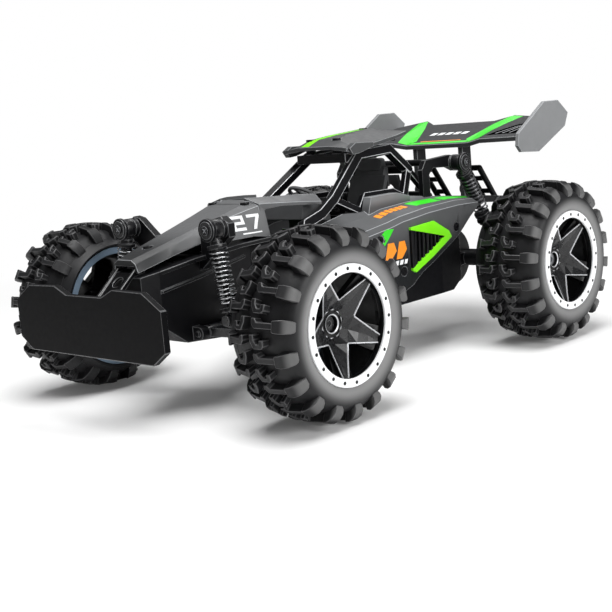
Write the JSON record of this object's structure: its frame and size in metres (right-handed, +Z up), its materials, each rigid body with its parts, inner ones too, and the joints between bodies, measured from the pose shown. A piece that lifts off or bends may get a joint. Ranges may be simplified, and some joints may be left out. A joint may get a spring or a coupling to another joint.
{
  "type": "remote control car",
  "caption": "Electric off-road buggy with knobbly tyres, steered and sprung front wheels, a sprung rear gearbox, a roll cage and a rear wing.",
  "frame": {"origin": "on the ground under the middle of the car's overall length and width", "axes": "+Z up, the car faces -Y, +X is the car's left side"},
  "size_m": [0.189, 0.2946, 0.1208],
  "materials": {
    "tyre_rubber": "satin",
    "black_plastic": "satin",
    "cage_black": "gloss",
    "body_grey": "gloss",
    "roof_grey": "gloss",
    "vent_green": "gloss",
    "ring_white": "gloss",
    "spring_wire": "gloss",
    "shaft_steel": "satin",
    "screw_steel": "gloss",
    "gear_white": "satin",
    "motor_can": "satin",
    "battery_wrap": "gloss",
    "board_green": "satin",
    "seat_grey": "satin"
  },
  "bodies": {
    "chassis": {"chassis_tub": "black_plastic", "battery_door": "black_plastic", "battery_pack": "battery_wrap", "circuit_board": "board_green", "steering_servo": "black_plastic", "front_bumper": "black_plastic", "front_shock_tower": "black_plastic", "hood": "body_grey", "body_side_left": "body_grey", "body_side_right": "body_grey", "side_vent_left": "vent_green", "side_vent_right": "vent_green", "roll_cage": "cage_black", "roof_panel": "roof_grey", "seat": "seat_grey", "dashboard": "seat_grey", "rear_shock_tower": "black_plastic", "rear_wing": "roof_grey", "wing_endplate_left": "roof_grey", "wing_endplate_right": "roof_grey", "body_screws": "screw_steel"},
    "power_switch": {"power_switch": "black_plastic"},
    "trim_lever": {"trim_lever": "black_plastic"},
    "servo_arm": {"servo_arm": "black_plastic"},
    "tie_rod": {"tie_rod": "black_plastic"},
    "rear_swing": {"gearbox_case": "black_plastic", "gearbox_cover": "black_plastic", "drive_motor": "motor_can"},
    "rear_axle": {"rear_axle": "shaft_steel", "axle_gear": "gear_white", "tyre_rear_left": "tyre_rubber", "rim_rear_left": "black_plastic", "bead_ring_rear_left": "ring_white", "tyre_rear_right": "tyre_rubber", "rim_rear_right": "black_plastic", "bead_ring_rear_right": "ring_white"},
    "motor_pinion": {"motor_pinion": "shaft_steel"},
    "idler_gear": {"idler_gear": "gear_white"},
    "front_arm_left": {"front_arm_left": "black_plastic"},
    "knuckle_left": {"knuckle_left": "black_plastic"},
    "front_wheel_left": {"tyre_front_left": "tyre_rubber", "rim_front_left": "black_plastic", "bead_ring_front_left": "ring_white"},
    "front_shock_left": {"front_shock_left": "black_plastic", "front_spring_left": "spring_wire"},
    "front_shock_rod_left": {"front_shock_rod_left": "black_plastic"},
    "rear_shock_left": {"rear_shock_left": "black_plastic", "rear_spring_left": "spring_wire"},
    "rear_shock_rod_left": {"rear_shock_rod_left": "black_plastic"},
    "front_arm_right": {"front_arm_right": "black_plastic"},
    "knuckle_right": {"knuckle_right": "black_plastic"},
    "front_wheel_right": {"tyre_front_right": "tyre_rubber", "rim_front_right": "black_plastic", "bead_ring_front_right": "ring_white"},
    "front_shock_right": {"front_shock_right": "black_plastic", "front_spring_right": "spring_wire"},
    "front_shock_rod_right": {"front_shock_rod_right": "black_plastic"},
    "rear_shock_right": {"rear_shock_right": "black_plastic", "rear_spring_right": "spring_wire"},
    "rear_shock_rod_right": {"rear_shock_rod_right": "black_plastic"}
  },
  "joints": [
    {"name": "power_switch_slide", "type": "slide", "parent": "chassis", "child": "power_switch", "axis": [0, 1, 0], "range_m": [0, 0.004]},
    {"name": "trim_lever_turn", "type": "hinge", "parent": "chassis", "child": "trim_lever", "pos_m": [0, -0.0529, 0.029], "axis": [0, 0, 1], "range_deg": [-20, 20]},
    {"name": "front_arm_left_bump", "type": "hinge", "parent": "chassis", "child": "front_arm_left", "pos_m": [0.0175, -0.0866, 0.035], "axis": [0, -1, 0], "range_deg": [0, 6], "stiffness_Nm_per_rad": 0.35, "springref_deg": -20.05},
    {"name": "knuckle_left_steer", "type": "hinge", "parent": "front_arm_left", "child": "knuckle_left", "pos_m": [0.052, -0.0866, 0.0409], "axis": [0, 0, 1], "range_deg": [-18, 18]},
    {"name": "front_wheel_left_spin", "type": "hinge", "parent": "knuckle_left", "child": "front_wheel_left", "pos_m": [0.075, -0.0866, 0.0409], "axis": [1, 0, 0], "continuous": true},
    {"name": "front_shock_left_swing", "type": "hinge", "parent": "chassis", "child": "front_shock_left", "pos_m": [0.0298, -0.0979, 0.0806], "axis": [0, -1, 0], "range_deg": [-0.8, 0]},
    {"name": "front_shock_left_stroke", "type": "slide", "parent": "front_shock_left", "child": "front_shock_rod_left", "axis": [-0.1661, 0, 0.9861], "range_m": [0, 0.0021], "deforming": ["front_spring_left"]},
    {"name": "rear_shock_left_swing", "type": "hinge", "parent": "chassis", "child": "rear_shock_left", "pos_m": [0.033, 0.0771, 0.0929], "axis": [1, 0, 0], "range_deg": [0, 2.05]},
    {"name": "rear_shock_left_stroke", "type": "slide", "parent": "rear_shock_left", "child": "rear_shock_rod_left", "axis": [0, -0.5323, 0.8466], "range_m": [0, 0.0067], "deforming": ["rear_spring_left"]},
    {"name": "front_arm_right_bump", "type": "hinge", "parent": "chassis", "child": "front_arm_right", "pos_m": [-0.0175, -0.0866, 0.035], "axis": [0, 1, 0], "range_deg": [0, 6], "stiffness_Nm_per_rad": 0.35, "springref_deg": -20.05},
    {"name": "knuckle_right_steer", "type": "hinge", "parent": "front_arm_right", "child": "knuckle_right", "pos_m": [-0.052, -0.0866, 0.0409], "axis": [0, 0, 1], "range_deg": [-18, 18]},
    {"name": "front_wheel_right_spin", "type": "hinge", "parent": "knuckle_right", "child": "front_wheel_right", "pos_m": [-0.075, -0.0866, 0.0409], "axis": [1, 0, 0], "continuous": true},
    {"name": "front_shock_right_swing", "type": "hinge", "parent": "chassis", "child": "front_shock_right", "pos_m": [-0.0298, -0.0979, 0.0806], "axis": [0, 1, 0], "range_deg": [-0.8, 0]},
    {"name": "front_shock_right_stroke", "type": "slide", "parent": "front_shock_right", "child": "front_shock_rod_right", "axis": [0.1661, 0, 0.9861], "range_m": [0, 0.0021], "deforming": ["front_spring_right"]},
    {"name": "rear_shock_right_swing", "type": "hinge", "parent": "chassis", "child": "rear_shock_right", "pos_m": [-0.033, 0.0771, 0.0929], "axis": [1, 0, 0], "range_deg": [0, 2.05]},
    {"name": "rear_shock_right_stroke", "type": "slide", "parent": "rear_shock_right", "child": "rear_shock_rod_right", "axis": [0, -0.5323, 0.8466], "range_m": [0, 0.0067], "deforming": ["rear_spring_right"]},
    {"name": "tie_rod_slide", "type": "slide", "parent": "chassis", "child": "tie_rod", "axis": [-1, 0, 0], "range_m": [-0.0042, 0.0042]},
    {"name": "servo_arm_turn", "type": "hinge", "parent": "chassis", "child": "servo_arm", "pos_m": [0, -0.0606, 0.048], "axis": [0, 0, -1], "range_deg": [-18.5, 18.5]},
    {"name": "rear_swing_bump", "type": "hinge", "parent": "chassis", "child": "rear_swing", "pos_m": [0, 0.0371, 0.038], "axis": [1, 0, 0], "range_deg": [0, 6], "stiffness_Nm_per_rad": 1.2, "springref_deg": -20.05},
    {"name": "rear_axle_spin", "type": "hinge", "parent": "rear_swing", "child": "rear_axle", "pos_m": [0, 0.0848, 0.0409], "axis": [1, 0, 0], "continuous": true},
    {"name": "idler_spin", "type": "hinge", "parent": "rear_swing", "child": "idler_gear", "pos_m": [0.012, 0.0683, 0.0441], "axis": [1, 0, 0], "continuous": true},
    {"name": "pinion_spin", "type": "hinge", "parent": "rear_swing", "child": "motor_pinion", "pos_m": [0.008, 0.0528, 0.0401], "axis": [1, 0, 0], "continuous": true}
  ],
  "couplings": [
    {"joint": "front_shock_left_swing", "follows": "front_arm_left_bump", "ratio": -0.12948},
    {"joint": "front_shock_left_stroke", "follows": "front_arm_left_bump", "m_per_rad": 0.019435},
    {"joint": "rear_shock_left_swing", "follows": "rear_swing_bump", "ratio": 0.33364},
    {"joint": "rear_shock_left_stroke", "follows": "rear_swing_bump", "m_per_rad": 0.063525},
    {"joint": "front_shock_right_swing", "follows": "front_arm_right_bump", "ratio": -0.12948},
    {"joint": "front_shock_right_stroke", "follows": "front_arm_right_bump", "m_per_rad": 0.019435},
    {"joint": "rear_shock_right_swing", "follows": "rear_swing_bump", "ratio": 0.33364},
    {"joint": "rear_shock_right_stroke", "follows": "rear_swing_bump", "m_per_rad": 0.063525},
    {"joint": "knuckle_right_steer", "follows": "knuckle_left_steer", "ratio": 1},
    {"joint": "tie_rod_slide", "follows": "knuckle_left_steer", "m_per_rad": 0.013},
    {"joint": "servo_arm_turn", "follows": "knuckle_left_steer", "ratio": 1},
    {"joint": "idler_spin", "follows": "rear_axle_spin", "ratio": -2.5},
    {"joint": "pinion_spin", "follows": "rear_axle_spin", "ratio": 7.5}
  ]
}
